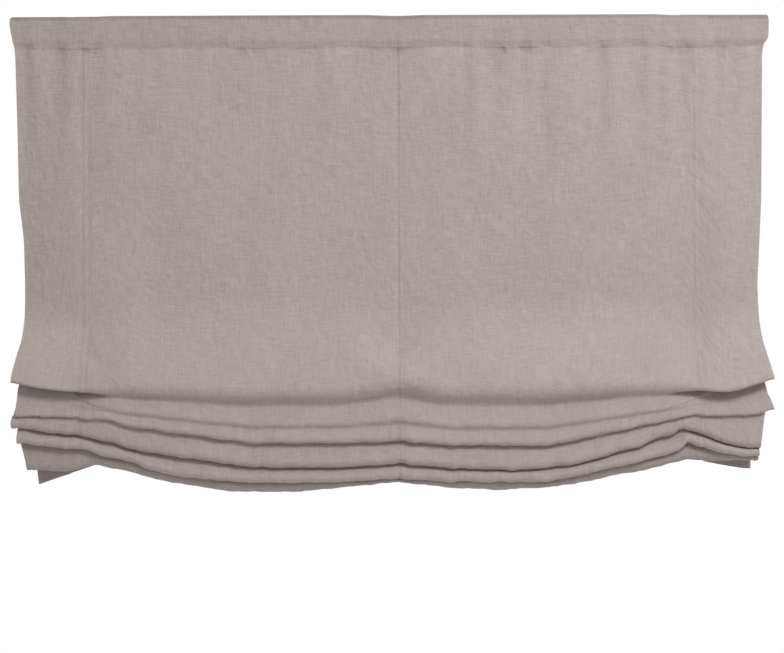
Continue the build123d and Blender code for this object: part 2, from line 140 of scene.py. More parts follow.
# %% A finish: one material, built node by node
class Finish:
    """A material with a Principled shader, to which nodes are added."""

    def __init__(self, name, **plain):
        self.material = bpy.data.materials.new(name)
        self.material.use_nodes = True
        self.tree = self.material.node_tree
        self.tree.nodes.clear()
        self.shader = self.tree.nodes.new("ShaderNodeBsdfPrincipled")
        output = self.tree.nodes.new("ShaderNodeOutputMaterial")
        self.tree.links.new(self.shader.outputs[0], output.inputs[0])
        self.set(self.shader, {k.replace("_", " "): v for k, v in plain.items()})

    def set(self, node, inputs):
        """Puts a wire or a plain value into each named or numbered socket."""
        for key, value in inputs.items():
            if isinstance(value, Wire):
                self.tree.links.new(value.socket, node.inputs[key])
            else:
                node.inputs[key].default_value = value

    def add(self, kind, settings=None, inputs=None, output=0):
        """Adds a node of a kind, with its settings and its sockets filled, and gives one output."""
        node = self.tree.nodes.new(kind)
        for key, value in (settings or {}).items():
            setattr(node, key, value)
        self.set(node, inputs or {})
        return Wire(self, node.outputs[output])

    def split(self, vector):
        """The x, y and z of a vector."""
        x = self.add("ShaderNodeSeparateXYZ", None, {0: vector})
        return x, x.also("Y"), x.also("Z")

    def flat_place(self):
        """Where a point was on the cloth when it lay flat, in metres, kept with the mesh."""
        return self.add("ShaderNodeAttribute", {"attribute_name": "flat"}, None, "Vector")

    def object_place(self):
        """Where a point is on the object, in metres."""
        return self.add("ShaderNodeTexCoord", None, None, "Object")

    def stretch(self, vector, scales):
        return self.add("ShaderNodeVectorMath", {"operation": "MULTIPLY"}, {0: vector, 1: scales})

    def noise(self, vector, scales, detail=2.0, rough=0.5):
        """Soft noise about 0.5, with a number of spots per metre along each axis."""
        inputs = {"Vector": self.stretch(vector, scales), "Scale": 1.0}
        inputs.update({"Detail": detail, "Roughness": rough})
        return self.add("ShaderNodeTexNoise", {"noise_dimensions": "3D"}, inputs)

    def tint(self, colour, factor):
        """A colour made lighter or darker by a factor."""
        return self.add(
            "ShaderNodeVectorMath", {"operation": "SCALE"}, {0: colour, "Scale": factor}
        )

    def mix(self, share, one, other):
        """One colour passing into another as share goes from 0 to 1."""
        one, other = ((*c, 1.0) if isinstance(c, tuple) else c for c in (one, other))
        settings = {"data_type": "RGBA", "blend_type": "MIX"}
        return self.add("ShaderNodeMix", settings, {0: share, 6: one, 7: other}, 2)

    def bump(self, height, distance, strength=1.0, under=None):
        """A normal tilted by a height from 0 to 1, times a distance in metres."""
        inputs = {"Height": height, "Distance": distance, "Strength": strength}
        if under:
            inputs["Normal"] = under
        return self.add("ShaderNodeBump", None, inputs)

    def wear(self, **inputs):
        """Feeds the shader's own sockets, and gives the finished material."""
        self.set(self.shader, {k.replace("_", " "): v for k, v in inputs.items()})
        return self.material


print("shader helpers ready")

# %% [markdown]
# ## Sky and floor
# The white background is the sky as the camera, mirrors and glass see it. What lights the blind is
# a dome that is darker below than above, as in a room. The floor is pale and far below the blind.

# %% Sky
class Sky(Finish):
    """The world, built from nodes with the same helpers as a finish."""

    def __init__(self, world):
        world.use_nodes = True
        self.tree = world.node_tree
        self.tree.nodes.clear()


SKY_LOW, SKY_HIGH = 0.28, 0.62
scene.world = bpy.data.worlds.new("sky")
sky = Sky(scene.world)
seen = rays = sky.add("ShaderNodeLightPath", None, None, "Is Camera Ray")
for kind in ("Is Glossy Ray", "Is Transmission Ray"):
    seen = seen.sum_node("MAXIMUM", seen, rays.also(kind))
upward = sky.split(sky.add("ShaderNodeTexCoord", None, None, "Generated"))[2]
dome_ends = {"From Min": -1.0, "To Min": SKY_LOW, "To Max": SKY_HIGH}
dome = sky.add("ShaderNodeMapRange", None, {"Value": upward, **dome_ends})
strength = sky.add("ShaderNodeMapRange", None, {"Value": seen, "To Min": dome, "To Max": 1.0})
backdrop = sky.add("ShaderNodeBackground", None, {"Color": (1, 1, 1, 1), "Strength": strength})
sky.set(sky.tree.nodes.new("ShaderNodeOutputWorld"), {"Surface": backdrop})
print("sky lights the cloth from", SKY_LOW, "below to", SKY_HIGH, "above")

# %% Floor
FLOOR_HEIGHT, FLOOR_HALF = -1.8, 2.2
floor_mesh = bpy.data.meshes.new("floor")
corners = [(-1, -1), (1, -1), (1, 1), (-1, 1)]
floor_mesh.from_pydata(
    [(x * FLOOR_HALF, y * FLOOR_HALF, FLOOR_HEIGHT) for x, y in corners], [], [(0, 1, 2, 3)]
)
floor = bpy.data.objects.new("floor", floor_mesh)
scene.collection.objects.link(floor)
floor_finish = Finish("pale_floor", Roughness=0.9)
mottle = floor_finish.noise(floor_finish.object_place(), (3, 3, 3), 3.0)
floor_mesh.materials.append(
    floor_finish.wear(Base_Color=floor_finish.tint((0.86, 0.86, 0.85), 0.985 + mottle * 0.03))
)
print("floor at", FLOOR_HEIGHT, "m")

# %% [markdown]
# ## Surfaces from grids
# Every new piece is a surface worked out as whole arrays. A few helpers turn arrays into meshes: they
# join the points of a grid with four-sided faces, close a sheet that has a front and a back, and
# carry a round section along a line.

# %% From arrays to a piece
def circle(count):
    """Angles of count points spread evenly round a circle."""
    return np.linspace(0, FULL_TURN, count, endpoint=False)


def grid_faces(rows, columns, close_rows=False, close_columns=False):
    """Faces between neighbours of a grid, seen with its rows going down and columns to the right."""
    index = np.arange(rows * columns).reshape(rows, columns)
    down, right = np.roll(index, -1, 0), np.roll(index, -1, 1)
    faces = np.stack([index, down, np.roll(down, -1, 1), right], -1)
    faces = faces if close_rows else faces[:-1]
    faces = faces if close_columns else faces[:, :-1]
    return faces.reshape(-1, 4)


def make_piece(name, points, faces, material, body, sharp=50):
    """A smooth mesh from points in mm and faces, riding on a body, with edges above sharp degrees."""
    mesh = bpy.data.meshes.new(name)
    mesh.from_pydata((np.asarray(points).reshape(-1, 3) * MM).tolist(), [], faces)
    mesh.validate()
    mesh.materials.append(material)
    mesh.shade_smooth()
    mesh.set_sharp_from_angle(angle=math.radians(sharp))
    piece = bpy.data.objects.new(name, mesh)
    scene.collection.objects.link(piece)
    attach(piece, body)
    print(f"{name}: {len(mesh.vertices)} points, {len(mesh.polygons)} faces")
    return piece


def keep_flat_place(piece, values):
    """Keeps a vector for each point of the piece, for its finish to read."""
    store = piece.data.attributes.new("flat", "FLOAT_VECTOR", "POINT")
    store.data.foreach_set("vector", np.asarray(values, np.float32).ravel())


# %% A sheet with two sides
def sheet_loop(front, back):
    """Each row runs along the front from left to right, then along the back from right to left."""
    return np.concatenate([front, back[:, ::-1]], 1)


def sheet_faces(rows, columns):
    """Faces of a closed sheet laid out by sheet_loop, with a strip that closes each end."""
    around = 2 * columns
    sides = grid_faces(rows, around, close_columns=True)
    j = np.arange(columns - 1)
    mirror = around - 1 - j
    top = np.stack([j, j + 1, mirror - 1, mirror], -1)
    bottom = (rows - 1) * around + np.stack([j + 1, j, mirror, mirror - 1], -1)
    return np.concatenate([sides, top, bottom]).tolist()


# %% A round section along a line
def tube_points(line, radius, sides, beside=(1.0, 0.0, 0.0)):
    """Rings of points round a line: line + radius * (cos * first + sin * second).

    first and second are square to the line, and radius is a number for each point and side.
    """
    along = np.gradient(line, axis=0)
    along /= np.linalg.norm(along, axis=1, keepdims=True)
    first = np.cross(along, beside)
    first /= np.linalg.norm(first, axis=1, keepdims=True)
    second = np.cross(along, first)
    angle = circle(sides)[None, :, None]
    radius = np.broadcast_to(radius, (len(line), sides))[..., None]
    return line[:, None] + radius * (np.cos(angle) * first[:, None] + np.sin(angle) * second[:, None])


def tube_faces(rings, sides, start=0):
    """Faces of a tube with both ends closed, for rings whose first point has the number start."""
    sides_faces = grid_faces(rings, sides, close_columns=True)[:, ::-1] + start
    ends = [list(range(start + sides - 1, start - 1, -1))]
    ends.append(list(range(start + (rings - 1) * sides, start + rings * sides)))
    return sides_faces.tolist() + ends


print("surface helpers ready")

# %% [markdown]
# ## How the cloth hangs
# The cloth is one sheet: over the rail, down the front, then in five folds that hang from the ring
# tapes. A side view of it at any place is a string pulled round rollers: straight runs, and bends of
# a known radius. So the whole cloth is a few lines across the blind, such as the bottom of each
# fold, and each line is measured at the places where it turns and eased between them.

# %% Columns across the cloth
HALF_WIDTH = 719.0
TAPE_PLACES = {"left": -575.0, "middle": 20.0, "right": 579.0}
TAPES = tuple(TAPE_PLACES.values())
COLUMNS = 204
CLOSER_AT_EDGE, EDGE_REACH = 1.6, 22
CLOSER_AT_TAPE, TAPE_REACH = 2.2, 11


def hump(distance, width):
    """1 where distance is 0, and smoothly down to nothing beyond about two widths."""
    return np.exp(-((distance / width) ** 2))


def ramp(value, start, end):
    """0 up to start, 1 from end on, and straight between. The end may lie below the start."""
    return np.clip((value - start) / (end - start), 0, 1)


fine_x = np.arange(-HALF_WIDTH, HALF_WIDTH + 1)
crowding = 1 + CLOSER_AT_EDGE * (HALF_WIDTH - np.abs(fine_x) < EDGE_REACH)
for tape in TAPES:
    crowding = crowding + CLOSER_AT_TAPE * hump(fine_x - tape, TAPE_REACH)
share = np.cumsum(crowding) / crowding.sum()
column_x = np.interp(np.linspace(share[0], 1, COLUMNS), share, fine_x)
print(f"columns: {COLUMNS}, closest {np.diff(column_x).min():.2f} mm")


# %% Lines across the cloth
def line_across(points, soften=12):
    """A line through (x, value) points, evened out over about soften mm to each side."""
    reach = 3 * soften
    wide = np.arange(-HALF_WIDTH - reach, HALF_WIDTH + reach + 1)
    values = np.interp(wide, *np.array(points, float).T)
    weights = np.exp(-0.5 * (np.arange(-reach, reach + 1) / soften) ** 2)
    return np.interp(column_x, fine_x, np.convolve(values, weights / weights.sum(), "valid"))


fold_bottoms = [
    line_across([
        (-718, -664), (-705, -667), (-668, -674), (-616, -681), (-572, -687), (-531, -691),
        (-487, -690), (-446, -693), (-260, -705), (-93, -704), (18, -687), (111, -705),
        (297, -703), (445, -693), (566, -688), (644, -684), (660, -680), (690, -671), (718, -662),
    ], 8),
    line_across([
        (-698, -728), (-633, -728), (-592, -731), (-558, -734), (-532, -734), (-506, -742),
        (-488, -747), (-447, -753), (-261, -780), (-94, -780), (18, -777), (111, -785),
        (297, -786), (464, -751), (528, -737), (565, -730), (635, -732), (697, -727), (716, -721),
    ], 5),
    line_across([
        (-705, -749), (-672, -755), (-593, -764), (-554, -770), (-521, -779), (-489, -789),
        (-448, -797), (-262, -825), (-94, -826), (18, -819), (111, -828), (241, -832),
        (297, -827), (351, -821), (430, -798), (465, -789), (499, -774), (532, -764), (543, -753),
        (556, -759), (585, -767), (637, -785), (683, -791),
    ], 3),
    line_across([
        (-696, -778), (-674, -783), (-621, -787), (-565, -793), (-543, -802), (-504, -810),
        (-466, -821), (-420, -837), (-358, -846), (-263, -854), (-94, -853), (18, -847),
        (111, -853), (298, -854), (466, -817), (504, -808), (545, -793), (556, -780), (568, -788),
        (586, -791), (629, -802), (672, -807),
    ], 3),
    line_across([
        (-679, -827), (-644, -830), (-610, -830), (-571, -824), (-552, -818), (-537, -822),
        (-492, -831), (-432, -847), (-372, -858), (-312, -868), (-282, -870), (-177, -870),
        (-117, -865), (-42, -857), (18, -852), (48, -856), (123, -864), (205, -868),
        (288, -864), (348, -857), (408, -844), (468, -833), (498, -827), (528, -818),
        (558, -811), (597, -816), (674, -813),
    ], 5),
]
hem_line = line_across([
    (-719, -859), (-662, -848), (-605, -838), (-571, -827), (-549, -819), (-520, -826),
    (-400, -848), (-260, -866), (-93, -864), (18, -848), (112, -862), (299, -862),
    (420, -836), (520, -815), (579, -812), (592, -820), (637, -826), (700, -833),
], 5)

# The second, third and fourth folds also wobble a little, by a share of each wave's length.
WOBBLE, WOBBLE_WAVES = 0.0038, 7
wobble = np.random.default_rng(5)
for line in fold_bottoms[1:4]:
    for length in wobble.uniform(22, 90, WOBBLE_WAVES):
        phase = wobble.uniform(0, FULL_TURN)
        line += WOBBLE * length * np.sin(column_x * FULL_TURN / length + phase)
print(f"lowest fold bottom {fold_bottoms[4].min():.1f} mm")

# %% Tucks, and how loose the first fold is
TUCK_PLACES = (-720, -584, -566, -261, -93, 11, 29, 112, 299, 570, 588, 720)
tuck_tops = [
    line_across(list(zip(TUCK_PLACES, heights)), 14)
    for heights in (
        (-624, -640, -640, -662, -662, -645, -645, -660, -660, -640, -640, -618),
        (-648, -660, -660, -691, -691, -673, -673, -690, -690, -660, -660, -644),
        (-672, -680, -680, -720, -720, -701, -701, -720, -720, -680, -680, -670),
        (-696, -700, -700, -746, -746, -726, -726, -746, -746, -700, -700, -695),
        (-718, -728, -728, -770, -770, -758, -758, -770, -770, -728, -728, -718),
    )
]
looseness = line_across([
    (-720, 0), (-612, 0), (-585, 0.3), (-560, 0.75), (-520, 1), (525, 1), (560, 0.7), (585, 0.4),
    (610, 0), (720, 0),
])
print(f"tucks: {len(tuck_tops)}, loosest {looseness.max():.2f}")

# %% [markdown]
# ### Rollers
# In the swags the first fold never creases: the cloth only swells, dips and swells again on its way
# to the second fold. So there are two sets of rollers, one for the tight shape at the tapes and
# sides and one for the loose shape in the middle of a swag. Both have the same number of bends, and
# `looseness` later mixes the two paths point by point. A roller is the place of its centre, y and z,
# its radius, and the hand of the turn: 1 if the cloth turns anticlockwise round it, seen with the
# wall on the right, and -1 if clockwise.

# %% Rollers at every column
CLOTH_HALF = 0.6
HEADING_Y, PANEL_Y, TUCK_Y = -41.6, -38.7, -39.7
TOP_Z, RAIL_MIDDLE = 23.4, -23.0
FOLD_Y = (-95.0, -87.0)
FOLD_R, TUCK_R = 4.0, 1.0
top_rise = line_across([
    (-719, -0.3), (-612, -0.2), (-602, -0.9), (-592, -0.2), (-553, 0), (-523, 1.2), (-145, 1.6),
    (-39, 1.4), (8, -0.4), (24, -0.4), (66, 1.2), (504, 1.2), (534, -0.9), (568, 0.2),
    (606, -0.3), (719, -0.4),
], 6)
NEAR_TAPE, SWEEP, TIGHTER = 60, 180, 40
near_tape = sum(hump(column_x - tape, NEAR_TAPE) for tape in TAPES)
sweep = SWEEP - TIGHTER * near_tape
heading = [
    (RAIL_MIDDLE + 1, TOP_Z, 0.0, 1),  # where the cloth starts, on the rail
    (HEADING_Y + 2, TOP_Z - 4 + top_rise, 4.0, 1),  # over the rail's front edge
    (HEADING_Y + 10, TOP_Z - 45, 12.0, 1),  # in under the rail
    (PANEL_Y - 1.5, TOP_Z - 61, 1.5, -1),  # and down again
    (PANEL_Y - sweep, -500 - 32 * near_tape, sweep, -1),  # out towards the first fold
]
print("heading rollers:", len(heading))

# %% First two folds, tight and loose
first, second = fold_bottoms[:2]
TUCK_FREE_Y = -54
tuck_y = line_across([
    (-720, TUCK_FREE_Y), (-600, -48), (-584, TUCK_Y), (-566, TUCK_Y), (-530, TUCK_FREE_Y),
    (-40, TUCK_FREE_Y), (8, TUCK_Y), (32, TUCK_Y), (70, TUCK_FREE_Y), (530, TUCK_FREE_Y),
    (570, TUCK_Y), (588, TUCK_Y), (720, TUCK_FREE_Y),
], 5)
run_start = np.array([tuck_y + TUCK_R, tuck_tops[0] - TUCK_R])
run_end = np.array([np.full(COLUMNS, FOLD_Y[1] - FOLD_R), second + FOLD_R])
along = run_end - run_start
across = np.array([-along[1], along[0]]) / np.hypot(*along)
tight = [(FOLD_Y[0], first + FOLD_R, FOLD_R, 1), (tuck_y, tuck_tops[0] - TUCK_R, TUCK_R, -1)]

# On the run to the second fold, two rollers push the cloth aside, so that it swells and dips.
PUSHED_BY = 1.2
for where, radius, hand in ((0.5, 9, 1), (0.75, 6, -1)):
    centre = run_start + along * where + across * hand * (radius - PUSHED_BY)
    tight.append((*centre, radius, hand))
tight.append((FOLD_Y[1], second + FOLD_R, FOLD_R, 1))

# The loose rollers are laid out for a fall of SWAG_GAP from fold to fold, and slack scales them.
SWAG_GAP, FRONT_Y = 76.0, -99.0
slack = (first - second) / SWAG_GAP
loose = [
    (FRONT_Y + 24 * slack, first + 25 * slack, 24 * slack, 1),  # the first fold, only a swell
    (FRONT_Y + 10 * slack, first - 6.5 * slack, 10 * slack, -1),  # a dip
    (FRONT_Y + 19 * slack, first - 38 * slack, 10 * slack, 1),  # a swell
    (FRONT_Y + 6.5 * slack, first - 51 * slack, 8 * slack, -1),  # a dip
    (FRONT_Y + 16 * slack, second + 7.5 * slack, 7.5 * slack, 1),  # the second fold
]
print(f"slack from {slack.min():.2f} to {slack.max():.2f}")

# %% [markdown]
# Below the second fold, each fold is a roll tucked up under the one before. Its cloth comes down
# from the tuck, hugs the back of the roll above, and bulges out just under it, so only a thin dark
# crease shows between two rolls. Where there is no room below, the roll moves back instead.

# %% Rolls stacked under each other
ROLL_SHARE = {2: 0.5, 3: 0.5, 4: 1.0}
MOST_RADIUS = {2: 11.0, 3: 8.5, 4: 12.0}
ROLL_FRONT = {2: -87.5, 3: -84.0, 4: -72.0}
LEAST_RADIUS, ROLL_SPARE = 2.5, 1.5
BETWEEN_LAYERS, BETWEEN_ROLLS = 1.8, 0.4
LAST_DROP = 2


def stacked_rolls(above):
    """Rollers of the lower folds, from the roll above: y, z and radius at each column."""
    y, z, radius = above[:3]
    path = []
    for fold, share in ROLL_SHARE.items():
        path.append((TUCK_Y, tuck_tops[fold - 1] - TUCK_R, TUCK_R, -1))
        path.append((y, z, radius + BETWEEN_LAYERS, -1))
        room = fold_bottoms[fold - 1] - fold_bottoms[fold]
        own = np.clip(room * share - ROLL_SPARE, LEAST_RADIUS, MOST_RADIUS[fold])
        own_z = fold_bottoms[fold] + own - (LAST_DROP if fold == 4 else 0)
        apart = radius + BETWEEN_LAYERS + own + BETWEEN_ROLLS
        back = np.sqrt(np.clip(apart**2 - (z - own_z) ** 2, 0, None))
        y = np.maximum(ROLL_FRONT[fold] + own, y + back)
        z, radius = own_z, own
        path.append((y, z, radius, 1))
    path.append((TUCK_Y, tuck_tops[4] - TUCK_R, TUCK_R, -1))
    path.append((PANEL_Y, hem_line, 0.0, 1))
    return path


tight_rollers = heading + tight + stacked_rolls(tight[-1])
loose_rollers = heading + loose + stacked_rolls(loose[-1])
print("rollers:", len(tight_rollers), len(loose_rollers))

# %% The path round the rollers
BEND_STEPS = (0, 6, 4, 4, 8, 12, 8, 7, 6, 10, 5, 4, 10, 5, 4, 9, 5, 4, 8, 5, 0)
RUN_STEPS = (3, 6, 3, 34, 11, 4, 3, 3, 3, 4, 4, 3, 4, 4, 3, 4, 4, 3, 4, 5)
FOLD_ROLLERS = (5, 9, 12, 15, 18)
STEEPEST, SLIP, MOST_TURN = 0.98, 0.8, 4.5
BEND_HALF = 0.1


def path_round_rollers(rollers, shift):
    """Rows of (y, z) for every column, shift mm towards the wall from the middle of the cloth.

    A run follows the common tangent of two rollers, whose direction is the angle between the
    centres less asin(difference of signed radii / distance). A bend is a turn about its centre,
    and where rollers sit so that it would turn the wrong way, it doesn't turn. Each row has a
    place: the number of its roller in the middle of a bend, and numbers between along a run.
    """
    y, z, radius = (
        np.array([np.broadcast_to(roller[k], COLUMNS) for roller in rollers], float)
        for k in range(3)
    )
    hand = np.array([roller[3] for roller in rollers])
    dy, dz = np.diff(y, axis=0), np.diff(z, axis=0)
    signed = hand[:, None] * radius
    lean = np.clip(np.diff(signed, axis=0) / np.hypot(dy, dz), -STEEPEST, STEEPEST)
    way = np.arctan2(dz, dy) - np.arcsin(lean)
    reach = signed - shift

    def touch(i, angle):
        return np.stack([y[i] + reach[i] * np.sin(angle), z[i] - reach[i] * np.cos(angle)], -1)

    rows, places = [touch(0, way[0])], [BEND_HALF]
    for i, steps in enumerate(RUN_STEPS):
        begin, end = rows[-1], touch(i + 1, way[i])
        for k in range(1, steps + 1):
            rows.append(begin + (end - begin) * k / steps)
            places.append(i + BEND_HALF + (1 - 2 * BEND_HALF) * k / steps)
        if i + 1 < len(way):
            turn = ((way[i + 1] - way[i]) * hand[i + 1] + SLIP) % FULL_TURN - SLIP
            turn = np.where(turn > MOST_TURN, 0, np.clip(turn, 0, None))
            bend_steps = BEND_STEPS[i + 1]
            for k in range(1, bend_steps + 1):
                rows.append(touch(i + 1, way[i] + hand[i + 1] * turn * k / bend_steps))
                places.append(i + 1 - BEND_HALF + 2 * BEND_HALF * k / bend_steps)
    return np.array(rows), np.array(places)


def cloth_path(shift):
    """The tight path mixed with the loose one, by the looseness of each column."""
    tight_path, places = path_round_rollers(tight_rollers, shift)
    loose_path = path_round_rollers(loose_rollers, shift)[0]
    return tight_path + (loose_path - tight_path) * looseness[None, :, None], places


middle_path, row_place = cloth_path(0.0)
ROWS = len(row_place)
print("rows:", ROWS, "triangles about", 4 * ROWS * COLUMNS)

# %% [markdown]
# ### Side edges
# The edges aren't straight. They flare at the heading, pull in at the waist and step out again at
# each fold's corner. Only the last 120 mm of the cloth on each side follows them.

# %% Place of the side edges, row by row
EDGE_BAND = 120.0
LEFT_DOWN = [
    (25, -704), (22.5, -712), (17, -716.5), (1, -715), (-27, -709), (-46, -706.4), (-197, -704),
    (-321, -702), (-397, -693), (-478, -691), (-544, -691), (-586, -693), (-623, -700),
    (-652, -704.5),
]
RIGHT_DOWN = [
    (25, 709), (22.5, 713.5), (17, 716.5), (-4, 716), (-20, 715.5), (-32, 707), (-51, 704.4),
    (-202, 704), (-326, 703), (-402, 699.4), (-483, 695.3), (-549, 697), (-591, 700),
    (-628, 707.5), (-657, 713.5),
]
# Below the first fold: a place on the path, then the left and the right edge there.
BELOW = [
    (5, -706, 714.5), (6, -690, 694), (7, -696, 700), (8, -697.5, 706), (9, -699, 715),
    (10, -688, 694), (11, -705, 701), (12, -707.5, 690.5), (13, -690, 690), (14, -697, 690),
    (15, -697.5, 689), (16, -690, 688), (17, -696, 688), (18, -681, 688.5), (19, -682, 684),
    (20, -662, 679),
]
below = np.array(BELOW).T
edges = []
for side, table, column in ((0, LEFT_DOWN, 0), (1, RIGHT_DOWN, -1)):
    edge_z = middle_path[:, column, 1]
    above = np.interp(-edge_z, [-z for z, _ in table], [x for _, x in table])
    lower = np.interp(row_place, below[0], below[1 + side])
    edges.append(np.where(row_place < FOLD_ROLLERS[0], above, lower))
STRAIGHT = HALF_WIDTH - EDGE_BAND
beyond = np.clip(np.abs(column_x) - STRAIGHT, 0, None) / EDGE_BAND
edge_now = np.where(column_x[None] < 0, edges[0][:, None], edges[1][:, None])
inner = np.clip(column_x, -STRAIGHT, STRAIGHT)
cloth_x = inner[None] + (edge_now - np.sign(column_x) * STRAIGHT) * beyond[None]
print(f"edges at the waist {edges[0][40:60].max():.1f} and {edges[1][40:60].min():.1f}")

# %% [markdown]
# ### Ripples, seams and puckers
# Washed linen never hangs quite flat. Long shallow ripples run down the panel, the seams of the ring
# tapes pull in a channel, and short puckers gather beside them. Each is a height in mm off the
# cloth, as a function of the place on it, and all are added up. Waves are as high as a small share
# of their length. Inside the folds, where layers lie close, the cloth gets no heights.

# %% Heights off the cloth
x_grid = np.broadcast_to(column_x, (ROWS, COLUMNS))
z_grid = middle_path[..., 1]
panel = (ramp(row_place, 2.9, 3.3) * ramp(row_place, 6.2, 5.3))[:, None]
last_run = ramp(row_place, 19.3, 19.8)
on_folds = [hump(row_place - roller, 0.3) for roller in FOLD_ROLLERS]
in_sight = np.max([*on_folds, last_run], axis=0)[:, None]
chance = np.random.default_rng(11)
height = np.zeros((ROWS, COLUMNS))
RIPPLES, RIPPLE_HEIGHT, LOW_RIPPLES = 34, 0.0011, 0.3
lengths = chance.uniform(70, 330, RIPPLES)
leans = chance.normal(0, 0.55, RIPPLES)
phases = chance.uniform(0, FULL_TURN, RIPPLES)
for length, lean, phase in zip(lengths, leans, phases):
    along = x_grid * math.cos(lean) + z_grid * math.sin(lean)
    height += RIPPLE_HEIGHT * length * np.sin(along * FULL_TURN / length + phase)
height *= np.maximum(panel, LOW_RIPPLES * in_sight)
print(f"ripples reach {np.abs(height).max():.2f} mm")

# %% Crumples on the rolls
CRUMPLES, CRUMPLE_HEIGHT, ROW_APART = 22, 0.0042, 1.6
on_rolls = ramp(row_place, 8, 9)[:, None] * in_sight
rolls_down = np.arange(ROWS)[:, None] * ROW_APART
for _ in range(CRUMPLES):
    length = chance.uniform(16, 60)
    lean = chance.normal(1.3, 0.5)
    along = x_grid * math.cos(lean) * 2 + rolls_down * math.sin(lean)
    phase = chance.uniform(0, FULL_TURN)
    height += CRUMPLE_HEIGHT * length * np.sin(along * FULL_TURN / length + phase) * on_rolls
print("crumples:", CRUMPLES)

# %% Gathers under the heading, stronger on the right
GATHERS, GATHER_HEIGHT = 16, 0.0100
gathers = np.zeros(COLUMNS)
lengths = chance.uniform(26, 95, GATHERS)
phases = chance.uniform(0, FULL_TURN, GATHERS)
for length, phase in zip(lengths, phases):
    gathers += GATHER_HEIGHT * length * np.sin(column_x * FULL_TURN / length + phase)
GATHERED_AT = (-720, -560, -300, 0, 120, 500, 720)
gathers *= np.interp(column_x, GATHERED_AT, (0.7, 0.5, 0.15, 0.2, 0.8, 1.2, 1.0))
fade = np.interp(-z_grid, (-24, -10, 22, 34, 120, 330), (0, 0.3, 0.55, 1, 0.7, 0))
height += gathers[None] * fade * (row_place > 0.95)[:, None]
print(f"gathers reach {np.abs(gathers).max():.2f} mm")

# %% Seam channels down the ring tapes
STITCH_OUT = 6.0
SEAM_DEPTHS, SEAM_WIDTH = (0.95, 0.7, 0.75), 1.7
CHANNEL_DEPTH, CHANNEL_WIDTH = 0.5, 20
PUCKER_HEIGHT, PUCKER_PITCH, PUCKER_WIDTH = 0.3, 14, 13
CREASE_DEPTH, CREASE_WIDTH = 0.9, 2.4
below_heading = ramp(row_place, 2.6, 3.1)[:, None] * np.maximum(panel, 0.5 * in_sight)
for number, (tape, depth) in enumerate(zip(TAPES, SEAM_DEPTHS)):
    off = x_grid - tape - 0.8 * np.sin(z_grid / 23 + number)
    beat = np.sin(z_grid / 31 + number) + np.sin(z_grid / 13.7 + 3 * number)
    pucker = np.sin(z_grid * FULL_TURN / PUCKER_PITCH + beat * 1.4 + off / 5)
    pucker = pucker * hump(off, PUCKER_WIDTH) * PUCKER_HEIGHT
    seam = depth * hump(np.abs(off) - STITCH_OUT, SEAM_WIDTH)
    height += (pucker - seam - CHANNEL_DEPTH * hump(off, CHANNEL_WIDTH)) * below_heading
crease = x_grid - TAPES[1] + 2 - 1.5 * np.sin(z_grid / 57) - 0.6 * np.sin(z_grid / 19)
height -= CREASE_DEPTH * hump(crease, CREASE_WIDTH) * below_heading
print(f"deepest seam {height.min():.2f} mm")

# %% Single puckers and drag lines: x, z, length, width, lean in degrees, height
PUCKERS = (
    (-572, -600, 50, 5, 62, -1.6), (-560, -580, 46, 5, -62, 1.4), (-548, -628, 44, 5, -35, -1.5),
    (-590, -560, 60, 6, 80, 1.3), (585, -600, 60, 6, 70, -1.5), (600, -575, 70, 6, -60, 1.4),
    (566, -632, 50, 6, 30, -1.5), (8, -600, 70, 6, 75, -1.1), (34, -570, 80, 6, -70, 1.0),
    (548, -80, 90, 6, 84, -1.3), (566, -110, 110, 6, 95, 1.3), (690, -300, 160, 8, 88, -1.0),
    (-570, -566, 62, 9, -18, -1.1), (-556, -612, 40, 7, -40, -1.2), (-512, -540, 95, 12, -15, 0.8),
    (-630, -100, 120, 16, 68, -0.7), (-640, -590, 90, 14, 25, 0.9), (-655, -330, 200, 16, 86, 0.7),
    (545, 4, 34, 5, 82, -1.0), (556, 2, 36, 5, 95, 0.9), (566, 6, 32, 5, 84, -0.8),
    (537, -120, 160, 8, 88, 1.0), (548, -150, 150, 8, 92, -0.9), (600, -20, 60, 6, 88, 0.6),
    (640, -560, 120, 16, -28, 0.9), (610, -620, 80, 12, -30, -0.8), (90, -600, 110, 18, 12, 0.7),
    (-60, -610, 120, 20, -10, 0.7), (380, -560, 200, 30, -8, 0.9), (60, -520, 130, 12, 80, -0.6),
    (-400, -640, 150, 22, 8, 0.8), (470, -640, 120, 20, -12, 0.9), (655, -250, 180, 14, 85, 0.8),
)
upper = ramp(row_place, 5.6, 5.1)[:, None]
for x, z, length, width, lean, rise in PUCKERS:
    turn = math.radians(lean)
    dx, dz = x_grid - x, z_grid - z
    long_way = dx * math.cos(turn) + dz * math.sin(turn)
    short_way = dz * math.cos(turn) - dx * math.sin(turn)
    height += rise * hump(long_way, length / 2) * hump(short_way, width) * upper
print("puckers:", len(PUCKERS))

# %% [markdown]
# ### One sheet
# The cloth's front and back are the same path, half its thickness to each side, and thicker where
# its sides and foot are turned up in a hem. The heights are added square to the cloth. Beside the
# outer tapes the panel recedes a little towards the wall. Its finish reads where each point lay on
# the flat cloth, so that the weave runs with the folds.

